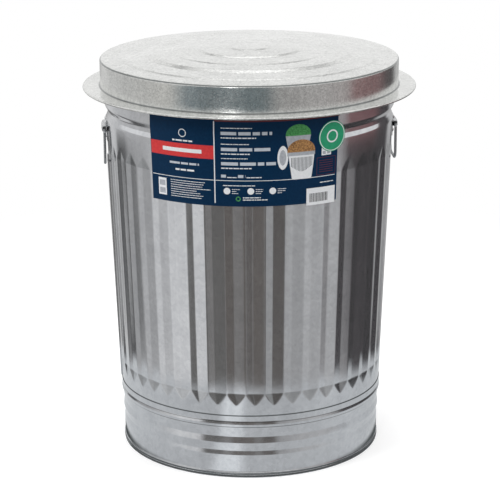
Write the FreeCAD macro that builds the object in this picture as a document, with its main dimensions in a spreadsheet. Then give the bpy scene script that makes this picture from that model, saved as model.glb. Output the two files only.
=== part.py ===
"""Galvanized steel trash can with its lid, as separate pieces in one frame.

Millimetres, +Z up. The origin is on the ground under the middle of the can. The two drop handles
are on the X axis, the label faces -Y, and the folded side seam runs up the wall at -X.
"""
import FreeCAD, Part
import math
import os

import Sketcher
from FreeCAD import Placement, Rotation, Vector

os.makedirs("parts", exist_ok=True)
doc = FreeCAD.newDocument("TrashCan")

# ---------------------------------------------------------------- driving dimensions

SIZES = {
    # open can: height over the rolled rim, and the straight line of the tapered wall, given by
    # its radius at the ground and what it gains per mm of height
    "can_height": 686.0,
    "wall_foot_radius": 225.0,
    "wall_taper": 0.0397,
    "wall_sheet": 0.6,
    # collar and pressed neck, from the rim down to the shoulder of the tapered wall
    "collar_height": 77.0,
    "collar_flare": 1.74,
    "collar_slope": 8.0,
    "neck_height": 7.0,
    "neck_slope": 8.0,
    "neck_depth": 3.2,
    # rolled rim and its wire
    "rim_wire_radius": 1.8,
    "rim_curl_gap": 0.7,
    "rim_lip_angle": 40.0,
    # flutes, pressed inwards between the band and the shoulder
    "flute_count": 45,
    "flute_foot": 17.5,
    "flute_head": 33.5,
    "flute_point": 21.5,
    "flute_depth": 1.6,
    "flute_ridge": 0.4,
    "flute_steep_share": 0.382,
    # folded side seam
    "seam_width": 10.0,
    "seam_proud": 2.4,
    "seam_band_gap": 1.5,
    "seam_head": 66.0,
    # base band, from the ground up: each height is the rise above the one before it
    "band_sheet": 0.7,
    "hem_height": 10.5,
    "foot_rise": 30.5,
    "step_two_rise": 6.0,
    "waist_rise": 16.5,
    "step_one_rise": 9.0,
    "skirt_rise": 19.2,
    "joggle_rise": 2.2,
    "bead_rise": 7.1,
    "lap_rise": 12.0,
    "bead_radius": 7.3,
    "lap_gap": 0.05,
    "wall_seat_gap": 0.1,
    "skirt_sink": 0.1,
    "waist_sink": 0.5,
    "step_two_sink": 1.25,
    "foot_sink": 0.3,
    # double hem at the foot
    "hem_proud": 1.4,
    "hem_crease_height": 5.3,
    "hem_crease_depth": 0.4,
    "hem_round": 0.8,
    "hem_lip_depth": 2.5,
    "hem_lip_height": 6.0,
    # floor of the can
    "pan_sheet": 0.7,
    "pan_height": 20.0,
    "pan_gap": 0.1,
    "pan_bend": 3.0,
    "pan_foot_gap": 0.3,
    "pan_step_radius": 160.0,
    "pan_step_width": 6.0,
    "pan_step_rise": 2.0,
    # ears: pressed sheets with a hood for the handle, from under the shoulder down
    "ear_sheet": 1.2,
    "ear_gap": 0.05,
    "ear_width": 54.6,
    "ear_length": 36.0,
    "ear_drop": 2.0,
    "hood_drop": 14.3,
    "hood_reach": 9.0,
    "hood_bend": 2.6,
    # drop handles
    "bail_wire": 4.5,
    "bail_play": 1.35,
    "bail_seat_gap": 0.3,
    "bail_face_gap": 1.95,
    "bail_side_gap": 0.2,
    "bail_drop": 60.0,
    "bail_top_bend": 5.0,
    "bail_grip_bend": 14.0,
    # rivets of the ears
    "rivet_radius": 2.0,
    "rivet_hole_gap": 0.05,
    "rivet_face_gap": 0.03,
    "rivet_head_radius": 4.1,
    "rivet_head_height": 2.2,
    "rivet_tail_radius": 3.5,
    "rivet_tail_height": 1.0,
    "rivet_end_inset": 9.4,
    "rivet_upper_inset": 4.7,
    "rivet_lower_inset": 9.0,
    # lid
    "lid_sheet": 0.7,
    "lid_seat_gap": 0.3,
    "lid_fit_gap": 0.9,
    "crown_depth": 45.8,
    "crown_bend": 3.7,
    "brim_width": 29.8,
    "brim_bend": 2.0,
    "brim_bead": 2.0,
    "lid_edge_fall": 0.077,
    "lid_fall": 0.047,
    "lid_ring_1_radius": 225.0,
    "lid_ring_1_width": 6.0,
    "lid_ring_1_rise": 1.4,
    "lid_ring_2_radius": 181.0,
    "lid_ring_2_width": 13.0,
    "lid_ring_2_rise": 3.2,
    "lid_ring_3_radius": 136.0,
    "lid_ring_3_width": 5.0,
    "lid_ring_3_rise": 1.1,
    "lid_ring_4_radius": 91.0,
    "lid_ring_4_width": 7.0,
    "lid_ring_4_rise": 2.1,
    "lid_ring_5_radius": 42.0,
    "lid_ring_5_width": 6.0,
    "lid_ring_5_rise": 1.4,
    "lid_centre_rise": 0.4,
    # label, from just under the brim down; angles are in degrees about the can's axis, from +X
    "label_gap": 0.15,
    "label_sheet": 0.25,
    "label_brim_gap": 5.2,
    "label_height": 152.0,
    "label_angle": 76.6,
    "label_middle": -96.6,
    # stickers, placed from the label's top, foot and middle
    "sticker_gap": 0.3,
    "sticker_sheet": 0.2,
    "round_sticker_radius": 26.0,
    "round_sticker_drop": 42.0,
    "round_sticker_turn": 35.5,
    "code_sticker_height": 29.0,
    "code_sticker_angle": 12.5,
    "code_sticker_overhang": 3.5,
    "code_sticker_turn": 31.1,
    # how far a cutting tool reaches past what it cuts
    "cut_margin": 2.0,
}
LID_RINGS = 5
RIGHT, LEFT = 0, math.degrees(math.pi)
DEGREES = 180 / math.pi

sheet = doc.addObject("Spreadsheet::Sheet", "sizes")
for row, (alias, number) in enumerate(SIZES.items(), start=1):
    sheet.set(f"A{row}", alias)
    sheet.set(f"B{row}", str(number))
    sheet.setAlias(f"B{row}", alias)
doc.recompute()


class Dim:
    """A size with its number and the spreadsheet expression that gives it."""

    def __init__(self, value, text):
        self.value = value
        self.text = text

    @staticmethod
    def of(other):
        return other if isinstance(other, Dim) else Dim(other, str(other))

    def __add__(self, other):
        other = Dim.of(other)
        return Dim(self.value + other.value, f"({self.text} + {other.text})")

    def __sub__(self, other):
        other = Dim.of(other)
        return Dim(self.value - other.value, f"({self.text} - {other.text})")

    def __mul__(self, other):
        other = Dim.of(other)
        return Dim(self.value * other.value, f"({self.text} * {other.text})")

    def __truediv__(self, other):
        other = Dim.of(other)
        return Dim(self.value / other.value, f"({self.text} / {other.text})")

    def __neg__(self):
        return Dim(-self.value, f"(-1 * {self.text})")


def size(alias):
    """One cell of the sheet."""
    return Dim(float(SIZES[alias]), f"sizes.{alias}")


def cosine(angle):
    return Dim(math.cos(math.radians(angle.value)), f"cos({angle.text} * 1 deg)")


def sine(angle):
    return Dim(math.sin(math.radians(angle.value)), f"sin({angle.text} * 1 deg)")


# ---------------------------------------------------------------- heights and radii that pieces share


def wall_at(height):
    """Outside radius of the tapered wall's straight line at a height."""
    return size("wall_foot_radius") + size("wall_taper") * height


def collar_foot():
    return size("can_height") - size("collar_height")


def neck_top():
    return collar_foot() - size("collar_slope")


def neck_foot():
    return neck_top() - size("neck_height")


def shoulder():
    """Where the tapered wall ends and the neck begins."""
    return neck_foot() - size("neck_slope")


def collar_radius():
    return wall_at(shoulder()) + size("collar_flare")


def curl_inside():
    return size("rim_wire_radius") + size("rim_curl_gap")


def curl_outside():
    return curl_inside() + size("wall_sheet")


def rim_centre():
    """Radius and height of the rim wire's centre."""
    return collar_radius() + curl_inside(), size("can_height") - curl_outside()


def band_heights():
    """Heights of the base band's corners, from the top of its hem to its top edge."""
    heights = [size("hem_height")]
    for rise in ("foot_rise", "step_two_rise", "waist_rise", "step_one_rise", "skirt_rise",
                 "joggle_rise", "bead_rise", "lap_rise"):
        heights.append(heights[-1] + size(rise))
    return heights


def band_top():
    return band_heights()[-1]


def wall_foot():
    """The wall's lower edge stands on the band's joggle."""
    return band_heights()[-3] + size("wall_seat_gap")


def foot_radius():
    return wall_at(size("hem_height")) - size("foot_sink")


def flute_low():
    return band_top() + size("flute_foot") + size("flute_point")


def flute_high():
    return shoulder() - size("flute_head") - size("flute_point")


def ear_top():
    return shoulder() - size("ear_drop")


def ear_foot():
    return ear_top() - size("ear_length")


def hood_middle():
    return ear_top() - size("hood_drop")


def hood_half_height():
    return size("bail_wire") / 2 + size("bail_play") + size("ear_sheet")


def hood_radius():
    return wall_at(hood_middle()) + size("hood_reach")


def ear_angle():
    return size("ear_width") / hood_radius() * DEGREES


def bail_radius():
    return hood_radius() - size("ear_sheet") - size("bail_wire") / 2 - size("bail_face_gap")


def bail_height():
    """The handle's top bar lies on the floor of the ear's hood."""
    hood_floor = hood_middle() - hood_half_height() + size("ear_sheet")
    return hood_floor + size("bail_wire") / 2 + size("bail_seat_gap")


def bail_half_width():
    return size("ear_width") / 2 + size("bail_side_gap") + size("bail_top_bend")


def crown_radius():
    """Outside radius of the lid's crown, which fits over the rolled rim."""
    rim_outside = rim_centre()[0] + curl_outside()
    return rim_outside + size("lid_fit_gap") + size("lid_sheet")


def crown_edge():
    """Height of the crown's outer edge, with the lid's underside on the rolled rim."""
    return size("can_height") + size("lid_seat_gap") + size("lid_sheet")


def brim_height():
    return crown_edge() - size("crown_depth")


def label_top():
    return brim_height() - size("label_brim_gap")


def label_foot():
    return label_top() - size("label_height")


def sticker_gap():
    return size("label_gap") + size("label_sheet") + size("sticker_gap")


# ---------------------------------------------------------------- sketch and feature helpers

ORIGIN_POINT = (-1, 1)
H_AXIS, V_AXIS = -1, -2
START, END, CENTRE = range(1, 4)


def new_sketch(body, name, role):
    """Sketch on one of the body's origin planes."""
    sketch = body.newObject("Sketcher::SketchObject", name)
    plane = next(f for f in body.Origin.OriginFeatures if f.Role == role)
    sketch.AttachmentSupport = [(plane, "")]
    sketch.MapMode = "FlatFace"
    return sketch


def bind(sketch, constraint, dim):
    """Adds one constraint and ties its value to the sheet."""
    index = sketch.addConstraint(constraint)
    sketch.setExpression(f"Constraints[{index}]", dim.text)


def pin_point(sketch, edge, point, x, y):
    """Holds one point of a sketch edge at x, y, each a Dim, or 0 for a place on an axis."""
    for kind, axis, place in (("DistanceX", V_AXIS, x), ("DistanceY", H_AXIS, y)):
        if isinstance(place, Dim):
            constraint = Sketcher.Constraint(kind, *ORIGIN_POINT, edge, point, place.value)
            bind(sketch, constraint, place)
        else:
            sketch.addConstraint(Sketcher.Constraint("PointOnObject", edge, point, axis))


def arc_edge(start, end, radius, left):
    """The short arc between two points; left says that it bends left on the way."""
    chord = end - start
    middle = (start + end) * 0.5
    side = Vector(-chord.y, chord.x, 0).normalize()
    reach = math.sqrt(max(radius ** 2 - (chord.Length / 2) ** 2, 0.0))
    centre = middle + side * (reach if left else -reach)
    first, last = (start, end) if left else (end, start)
    angles = [math.atan2(p.y - centre.y, p.x - centre.x) for p in (first, last)]
    return Part.ArcOfCircle(Part.Circle(centre, Vector(0, 0, 1), radius), *angles)


def outline(sketch, points):
    """Closed outline. A point is (x, y), or (x, y, radius, left) where an arc leads to the next."""
    places = [Vector(Dim.of(p[0]).value, Dim.of(p[1]).value, 0) for p in points]
    starts = []
    ends = []
    for index, point in enumerate(points):
        here, there = places[index], places[(index + 1) % len(points)]
        if len(point) == 2:
            edge = sketch.addGeometry(Part.LineSegment(here, there), False)
            forward = True
        else:
            radius, forward = point[2], point[3]
            edge = sketch.addGeometry(arc_edge(here, there, radius.value, forward), False)
        starts.append((edge, START if forward else END))
        ends.append((edge, END if forward else START))
    for index in range(len(points)):
        following = (index + 1) % len(points)
        sketch.addConstraint(Sketcher.Constraint("Coincident", *ends[index], *starts[following]))
    for start, point in zip(starts, points):
        pin_point(sketch, *start, point[0], point[1])
        if len(point) == 4:
            bind(sketch, Sketcher.Constraint("Radius", start[0], point[2].value), point[2])


def circle(sketch, x, y, radius):
    spot = Vector(x.value, y.value, 0)
    edge = sketch.addGeometry(Part.Circle(spot, Vector(0, 0, 1), radius.value), False)
    pin_point(sketch, edge, CENTRE, x, y)
    bind(sketch, Sketcher.Constraint("Radius", edge, radius.value), radius)


def turn_sketch(body, name, sketch, axis="V_Axis", angle=None):
    """Revolves a sketch, all the way round or by half of an angle to either side."""
    turn = body.newObject("PartDesign::Revolution", name)
    turn.Profile = sketch
    turn.ReferenceAxis = (sketch, [axis])
    turn.Angle = 360
    if angle is not None:
        turn.Midplane = True
        turn.setExpression("Angle", angle.text)


def turned_body(name, points, angle=None):
    """A body turned about the can's axis from an outline of (radius, height) points."""
    body = doc.addObject("PartDesign::Body", name)
    sketch = new_sketch(body, name + "_outline", "XZ_Plane")
    outline(sketch, points)
    turn_sketch(body, name + "_turn", sketch, angle=angle)
    return body


def swing_round(obj, degrees):
    """Turns an object about the can's axis."""
    obj.Placement = Placement(Vector(0, 0, 0), Rotation(Vector(0, 0, 1), degrees)) * obj.Placement


def add_shape(name, shape):
    feature = doc.addObject("Part::Feature", name)
    feature.Shape = shape
    return feature


# ---------------------------------------------------------------- flutes and side seam


def on_wall(angle, depth, height):
    """Point at an angle from +X, a depth under the wall's face and a height. The depth grows with
    the radius, so that every flute face is flat."""
    share = 1 - depth / wall_at(flute_low()).value
    radius = wall_at(Dim.of(height)).value * share
    turn = math.radians(angle)
    return Vector(radius * math.cos(turn), radius * math.sin(turn), height)


def flat_solid(faces):
    """Closed solid from flat faces, each a list of points."""
    shell = Part.Shell([Part.Face(Part.makePolygon(list(f) + [f[0]])) for f in faces])
    solid = Part.Solid(shell)
    if solid.Volume < 0:
        solid.reverse()
    return solid


def flute_angles():
    """Pitch of the flutes, and one flute's first edge, deepest line and last edge."""
    pitch = 360 / SIZES["flute_count"]
    ridge = SIZES["flute_ridge"] / 2
    valley = ridge + (pitch - 2 * ridge) * SIZES["flute_steep_share"]
    return pitch, ridge, valley, pitch - ridge


def pointed_bar(section, tip_depth):
    """Bar of one (angle, depth) section, drawn out to a point at both ends."""
    middle = flute_angles()[0] / 2
    low, high, point = flute_low().value, flute_high().value, SIZES["flute_point"]
    foot = [on_wall(angle, depth, low) for angle, depth in section]
    head = [on_wall(angle, depth, high) for angle, depth in section]
    foot_tip = on_wall(middle, tip_depth, low - point)
    head_tip = on_wall(middle, tip_depth, high + point)
    faces = []
    for i in range(len(section)):
        j = (i + 1) % len(section)
        faces += [(foot[i], foot[j], head[j], head[i])]
        faces += [(foot_tip, foot[j], foot[i])]
        faces += [(head_tip, head[i], head[j])]
    return flat_solid(faces)


def flute_hollow():
    """What a flute takes away from the outside of the wall."""
    pitch, first, valley, last = flute_angles()
    depth = SIZES["flute_depth"]
    clear = -2 * depth
    section = [(first, 0), (valley, depth), (last, 0), (last, clear), (first, clear)]
    return pointed_bar(section, 0)


def flute_backing():
    """The sheet behind a flute, which stands into the can by the flute's depth."""
    pitch, first, valley, last = flute_angles()
    depth, thick = SIZES["flute_depth"], SIZES["wall_sheet"]
    radius = wall_at(flute_low()).value
    steep = math.atan2(depth, math.radians(valley - first) * radius)
    corner = thick * math.tan(steep / 2) / radius * DEGREES
    deep = depth + thick / math.cos(steep)
    first, last = first - corner, last + corner
    section = [(first, thick), (valley, deep), (last, thick), (last, thick / 2), (first, thick / 2)]
    return pointed_bar(section, thick * 0.75)


def round_the_wall(solid):
    """One copy for each flute, leaving out the one that the side seam takes."""
    pitch = flute_angles()[0]
    copies = []
    for index in range(int(SIZES["flute_count"])):
        turn = index * pitch
        if abs(turn + pitch / 2 - LEFT) < pitch / 2:
            continue
        copy = solid.copy()
        copy.rotate(Vector(0, 0, 0), Vector(0, 0, 1), turn)
        copies.append(copy)
    return copies


def seam_strip():
    """The folded seam that stands proud of the wall at -X."""
    half = SIZES["seam_width"] / 2
    rings = []
    for level in (band_top() + size("seam_band_gap"), shoulder() - size("seam_head")):
        height = level.value
        outer = -(wall_at(level) + size("seam_proud")).value
        inner = -(wall_at(level) - size("wall_sheet") / 2).value
        rings.append([Vector(outer, -half, height), Vector(outer, half, height),
                      Vector(inner, half, height), Vector(inner, -half, height)])
    foot, head = rings
    sides = [(foot[i], foot[(i + 1) % 4], head[(i + 1) % 4], head[i]) for i in range(4)]
    return flat_solid([foot, head] + sides)


# ---------------------------------------------------------------- wall and rim wire


def wall_outline():
    thick = size("wall_sheet")
    inside, outside = curl_inside(), curl_outside()
    collar, neck = collar_radius(), wall_at(shoulder()) - size("neck_depth")
    centre_x, centre_z = rim_centre()
    lip_x, lip_z = cosine(size("rim_lip_angle")), sine(size("rim_lip_angle"))
    return [
        (wall_at(wall_foot()), wall_foot()),
        (wall_at(shoulder()), shoulder()),
        (neck, neck_foot()),
        (neck, neck_top()),
        (collar, collar_foot()),
        (collar, centre_z, inside, False),
        (centre_x, centre_z + inside, inside, False),
        (centre_x + inside, centre_z, inside, False),
        (centre_x - inside * lip_x, centre_z - inside * lip_z),
        (centre_x - outside * lip_x, centre_z - outside * lip_z, outside, True),
        (centre_x + outside, centre_z, outside, True),
        (centre_x, centre_z + outside, outside, True),
        (collar - thick, centre_z),
        (collar - thick, collar_foot()),
        (neck - thick, neck_top()),
        (neck - thick, neck_foot()),
        (wall_at(shoulder()) - thick, shoulder()),
        (wall_at(wall_foot()) - thick, wall_foot()),
    ]


def build_wall():
    """The turned sheet with its flutes pressed in; the flutes are flat facets, cut in one go."""
    blank = turned_body("wall_blank", wall_outline())
    doc.recompute()
    backed = blank.Shape.fuse(round_the_wall(flute_backing()) + [seam_strip()])
    cuts = round_the_wall(flute_hollow()) + rivet_drills(RIGHT) + rivet_drills(LEFT)
    return add_shape("body_wall", backed.cut(cuts).removeSplitter())


def build_rim_wire():
    body = doc.addObject("PartDesign::Body", "rim_wire")
    sketch = new_sketch(body, "rim_wire_section", "XZ_Plane")
    circle(sketch, *rim_centre(), size("rim_wire_radius"))
    turn_sketch(body, "rim_wire_turn", sketch)
    return body


# ---------------------------------------------------------------- base band and floor


def band_outline():
    thick, round_off = size("band_sheet"), size("hem_round")
    hem_top, foot, waist_low, waist, skirt_low, joggle, bead_low, bead_top, top = band_heights()
    line = [
        (wall_at(top) + size("lap_gap"), top),
        (wall_at(bead_low) + size("lap_gap"), bead_low),
        (wall_at(joggle) - size("skirt_sink") - thick, joggle),
        (wall_at(skirt_low) - size("skirt_sink") - thick, skirt_low),
        (wall_at(waist) - size("waist_sink") - thick, waist),
        (wall_at(waist_low) - size("waist_sink") - thick, waist_low),
        (wall_at(foot) - size("step_two_sink") - thick, foot),
        (foot_radius() - thick, hem_top),
    ]
    outer = [(x + thick, z) for x, z in line]
    bead = (wall_at(bead_top) + size("lap_gap") + thick, bead_top, size("bead_radius"), False)
    hem = foot_radius() + size("hem_proud")
    crease, lip = size("hem_crease_height"), foot_radius() - size("hem_lip_depth")
    hem_outside = [
        (hem, hem_top - round_off * 2),
        (hem, crease + round_off),
        (hem - size("hem_crease_depth"), crease),
        (hem, crease - round_off),
        (hem, round_off),
        (hem - round_off, 0),
    ]
    hem_inside = [
        (lip + round_off, 0),
        (lip, round_off),
        (lip, size("hem_lip_height")),
        (lip + thick, size("hem_lip_height")),
        (lip + thick, thick),
        (hem - thick - size("hem_crease_depth"), thick),
        (hem - thick - size("hem_crease_depth"), hem_top - round_off * 2),
    ]
    return outer[:1] + [bead] + outer[1:] + hem_outside + hem_inside + line[::-1]


def pan_outline():
    thick, bend, height = size("pan_sheet"), size("pan_bend"), size("pan_height")
    side = foot_radius() - size("band_sheet") - size("pan_gap")
    foot = size("band_sheet") + size("pan_foot_gap")
    step, width, rise = size("pan_step_radius"), size("pan_step_width"), size("pan_step_rise")
    return [
        (0, height + rise),
        (step - width, height + rise),
        (step, height),
        (side - bend, height, bend, False),
        (side, height - bend),
        (side, foot),
        (side - thick, foot),
        (side - thick, height - bend, bend - thick, True),
        (side - bend, height - thick),
        (step, height - thick),
        (step - width, height + rise - thick),
        (0, height + rise - thick),
    ]


# ---------------------------------------------------------------- rivets


def rivet_frames():
    """Places of one ear's rivets: on the wall's face, with local X along the outward normal."""
    inset = size("ear_width") / 2 - size("rivet_end_inset")
    angle = (inset / hood_radius() * DEGREES).value
    lean = Rotation(Vector(0, 1, 0), math.degrees(math.atan(SIZES["wall_taper"])))
    frames = []
    for height in (ear_foot() + size("rivet_lower_inset"), ear_top() - size("rivet_upper_inset")):
        for turned in (-angle, angle):
            turn = Rotation(Vector(0, 0, 1), turned)
            spot = turn.multVec(Vector(wall_at(height).value, 0, height.value))
            frames.append(Placement(spot, turn * lean))
    return frames


def rivet_drills(degrees):
    """Drills for the rivets of the ear at an angle from +X, through the ear and the wall."""
    margin = SIZES["cut_margin"]
    inner = -SIZES["wall_sheet"] - margin
    outer = SIZES["ear_gap"] + SIZES["ear_sheet"] + margin
    radius = SIZES["rivet_radius"] + SIZES["rivet_hole_gap"]
    drills = []
    for frame in rivet_frames():
        drill = Part.makeCylinder(radius, outer - inner, Vector(inner, 0, 0), Vector(1, 0, 0))
        drill.Placement = frame * drill.Placement
        drill.rotate(Vector(0, 0, 0), Vector(0, 0, 1), degrees)
        drills.append(drill)
    return drills


def rivet_outline():
    """Half section of a rivet: x runs outwards from the wall's face, y is its radius."""
    head_face = size("ear_gap") + size("ear_sheet") + size("rivet_face_gap")
    tail_face = -(size("wall_sheet") + size("rivet_face_gap"))
    tail_end = tail_face - size("rivet_tail_height")
    shank, head, tail = size("rivet_radius"), size("rivet_head_radius"), size("rivet_tail_radius")
    height = size("rivet_head_height")
    dome = (head * head + height * height) / (height * 2)
    return [
        (head_face + height, 0, dome, True),
        (head_face, head),
        (head_face, shank),
        (tail_face, shank),
        (tail_face, tail),
        (tail_end, tail),
        (tail_end, 0),
    ]


def build_rivet():
    body = doc.addObject("PartDesign::Body", "rivet")
    sketch = new_sketch(body, "rivet_half_section", "XY_Plane")
    outline(sketch, rivet_outline())
    turn_sketch(body, "rivet_turn", sketch, axis="H_Axis")
    return body


def place_rivets(name, rivet, degrees):
    copies = []
    for frame in rivet_frames():
        copy = rivet.Shape.copy()
        copy.Placement = frame
        copies.append(copy)
    group = add_shape(name, Part.makeCompound(copies))
    swing_round(group, degrees)
    return group


# ---------------------------------------------------------------- ears and drop handles


def ear_outline():
    """Section of an ear: two flanges on the wall and a hood between them."""
    thick, gap = size("ear_sheet"), size("ear_gap")
    low, high = ear_foot(), ear_top()
    hood_low = hood_middle() - hood_half_height()
    hood_high = hood_middle() + hood_half_height()
    face, bend = hood_radius(), size("hood_bend")
    inner_bend = bend - thick
    return [
        (wall_at(low) + gap + thick, low),
        (wall_at(hood_low) + gap + thick, hood_low),
        (face - bend, hood_low, bend, True),
        (face, hood_low + bend),
        (face, hood_high - bend, bend, True),
        (face - bend, hood_high),
        (wall_at(hood_high) + gap + thick, hood_high),
        (wall_at(high) + gap + thick, high),
        (wall_at(high) + gap, high),
        (wall_at(hood_high - thick) + gap, hood_high - thick),
        (face - bend, hood_high - thick, inner_bend, False),
        (face - thick, hood_high - bend),
        (face - thick, hood_low + bend, inner_bend, False),
        (face - bend, hood_low + thick),
        (wall_at(hood_low + thick) + gap, hood_low + thick),
        (wall_at(low) + gap, low),
    ]


def build_ear(side, degrees):
    blank = turned_body("ear_blank_" + side, ear_outline(), ear_angle())
    swing_round(blank, degrees)
    ear = doc.addObject("Part::Cut", "ear_" + side)
    ear.Base = blank
    ear.Tool = add_shape("ear_drills_" + side, Part.makeCompound(rivet_drills(degrees)))
    return ear


def build_bail(side, degrees):
    """Closed wire loop: top bar in the ear, two legs and the grip."""
    body = doc.addObject("PartDesign::Body", "bail_" + side)
    path = new_sketch(body, "bail_path_" + side, "YZ_Plane")
    path.setExpression("AttachmentOffset.Base.z", bail_radius().text)
    half, top = bail_half_width(), bail_height()
    low = top - size("bail_drop")
    small, large = size("bail_top_bend"), size("bail_grip_bend")
    points = [
        (-(half - small), top),
        (half - small, top, small, False),
        (half, top - small),
        (half, low + large, large, False),
        (half - large, low),
        (-(half - large), low, large, False),
        (-half, low + large),
        (-half, top - small, small, False),
    ]
    outline(path, points)
    section = new_sketch(body, "bail_section_" + side, "XZ_Plane")
    circle(section, bail_radius(), top, size("bail_wire") / 2)
    doc.recompute()
    pipe = body.newObject("PartDesign::AdditivePipe", "bail_wire_" + side)
    pipe.Profile = section
    pipe.Spine = (path, [f"Edge{number}" for number in range(1, len(points) + 1)])
    swing_round(body, degrees)
    return body


# ---------------------------------------------------------------- lid


def lid_outline():
    thick = size("lid_sheet")
    bead, bend, corner = size("brim_bead"), size("brim_bend"), size("crown_bend")
    brim, edge, crown = brim_height(), crown_edge(), crown_radius()
    top = [(crown - corner, edge)]
    fall = size("lid_edge_fall")
    for ring in range(1, LID_RINGS + 1):
        radius = size(f"lid_ring_{ring}_radius")
        last_x, last_z = top[-1]
        foot = last_z + fall * (last_x - radius)
        head = foot + size(f"lid_ring_{ring}_rise")
        top += [(radius, foot), (radius - size(f"lid_ring_{ring}_width"), head)]
        fall = size("lid_fall")
    top.append((0, top[-1][1] + size("lid_centre_rise")))
    under = [(x, z - thick) for x, z in top]
    bead_x = crown + size("brim_width") - bead
    inner_side = crown - thick
    side_and_brim = [
        (crown - corner, edge, corner, False),
        (crown, edge - corner),
        (crown, brim + bend, bend, True),
        (crown + bend, brim),
        (bead_x, brim, bead, False),
        (bead_x + bead, brim - bead, bead, False),
        (bead_x, brim - bead * 2, bead, False),
        (bead_x - bead, brim - bead),
        (bead_x - bead, brim - thick),
        (crown + bend, brim - thick, bend + thick, False),
        (inner_side, brim + bend),
        (inner_side, edge - corner, corner - thick, True),
    ]
    return top[:0:-1] + side_and_brim + under


# ---------------------------------------------------------------- label and stickers


def skin_outline(low, high, gap, thick):
    """Thin sheet over the wall from one height to another, which spans the pressed neck."""
    near = [(wall_at(low) + gap, low), (wall_at(shoulder()) + gap, shoulder()),
            (collar_radius() + gap, collar_foot()), (collar_radius() + gap, high)]
    far = [(x + thick, z) for x, z in near]
    return near + far[::-1]


def build_label():
    points = skin_outline(label_foot(), label_top(), size("label_gap"), size("label_sheet"))
    label = turned_body("label_sheet", points, size("label_angle"))
    swing_round(label, SIZES["label_middle"])
    return label


def build_round_sticker():
    """A round piece, cut straight in from a slightly larger one."""
    radius, margin = size("round_sticker_radius"), size("cut_margin")
    height = label_top() - size("round_sticker_drop")
    blank_points = skin_outline(height - radius - margin, height + radius + margin, sticker_gap(),
                                size("sticker_sheet"))
    blank_angle = (radius + margin) * 2 / collar_radius() * DEGREES
    blank = turned_body("round_sticker_blank", blank_points, blank_angle)
    cutter = doc.addObject("Part::Cylinder", "round_sticker_cutter")
    cutter.setExpression("Radius", radius.text)
    cutter.setExpression("Height", (crown_radius() + margin).text)
    cutter.Placement = Placement(Vector(0, 0, height.value), Rotation(Vector(0, 1, 0), 90))
    for obj in (blank, cutter):
        swing_round(obj, SIZES["label_middle"] + SIZES["round_sticker_turn"])
    sticker = doc.addObject("Part::Common", "round_sticker")
    sticker.Base = blank
    sticker.Tool = cutter
    return sticker


def build_code_sticker():
    low = label_foot() - size("code_sticker_overhang")
    high = low + size("code_sticker_height")
    thick, gap = size("sticker_sheet"), sticker_gap()
    points = [(wall_at(low) + gap, low), (wall_at(high) + gap, high),
              (wall_at(high) + gap + thick, high), (wall_at(low) + gap + thick, low)]
    sticker = turned_body("barcode_sticker", points, size("code_sticker_angle"))
    swing_round(sticker, SIZES["label_middle"] + SIZES["code_sticker_turn"])
    return sticker


# ---------------------------------------------------------------- build, check, export

nodes = [build_wall(), build_rim_wire(), turned_body("base_band", band_outline()),
         turned_body("bottom_pan", pan_outline()), turned_body("lid_shell", lid_outline()),
         build_label(), build_round_sticker(), build_code_sticker()]
rivet = build_rivet()
doc.recompute()
for side, degrees in (("right", RIGHT), ("left", LEFT)):
    nodes.append(build_ear(side, degrees))
    nodes.append(build_bail(side, degrees))
    nodes.append(place_rivets("ear_rivets_" + side, rivet, degrees))
doc.recompute()

for obj in doc.Objects:
    if "Invalid" in obj.State or "Error" in obj.State:
        raise RuntimeError(f"{obj.Name} failed: {obj.State}")
for node in nodes:
    node.Label = node.Name
    if node.Shape.isNull() or not node.Shape.isValid():
        raise RuntimeError(f"{node.Label} has no valid shape")
for node in nodes:
    node.Shape.exportStep(f"parts/{node.Label}.step")
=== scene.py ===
"""Looks of the galvanized trash can: sheet steel meshes, label, stickers, studio and camera.

Lengths are in millimetres in this file's tables and turn into metres when a mesh is made. The can's
axis is Z, its label faces -Y and its drop handles are on X.
"""
import math

import bmesh
import bpy
import numpy as np
from mathutils import Euler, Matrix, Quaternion, Vector


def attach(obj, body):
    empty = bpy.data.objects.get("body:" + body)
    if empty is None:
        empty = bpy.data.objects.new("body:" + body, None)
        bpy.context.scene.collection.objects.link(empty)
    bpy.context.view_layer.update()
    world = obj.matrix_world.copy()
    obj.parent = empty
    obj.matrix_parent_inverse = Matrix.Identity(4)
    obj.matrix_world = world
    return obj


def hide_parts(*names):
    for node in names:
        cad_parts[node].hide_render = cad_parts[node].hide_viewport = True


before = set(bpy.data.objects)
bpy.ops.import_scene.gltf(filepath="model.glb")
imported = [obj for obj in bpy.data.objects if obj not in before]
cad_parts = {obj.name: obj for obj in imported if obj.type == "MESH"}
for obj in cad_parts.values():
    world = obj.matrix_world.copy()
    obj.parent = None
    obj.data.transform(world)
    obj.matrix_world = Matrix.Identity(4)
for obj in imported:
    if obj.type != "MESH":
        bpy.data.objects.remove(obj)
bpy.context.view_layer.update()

MM = 0.001
SMOOTH_ANGLE = math.radians(32)

# ---- sizes that the pieces share

# wall: radius at the ground, and what it gains with each mm of height
WALL_FOOT_RADIUS = 225.0
WALL_TAPER = 0.0397
WALL_SHEET = 0.6
WALL_FOOT = 94.0
SHOULDER = 586.0
NECK_RADIUS = 245.06
NECK_LOW = 594.0
NECK_HIGH = 601.0
COLLAR_FOOT = 609.0
COLLAR_RADIUS = 250.0
RIM_CENTRE = (252.5, 682.9)
CURL_RADIUS = 2.5

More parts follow.
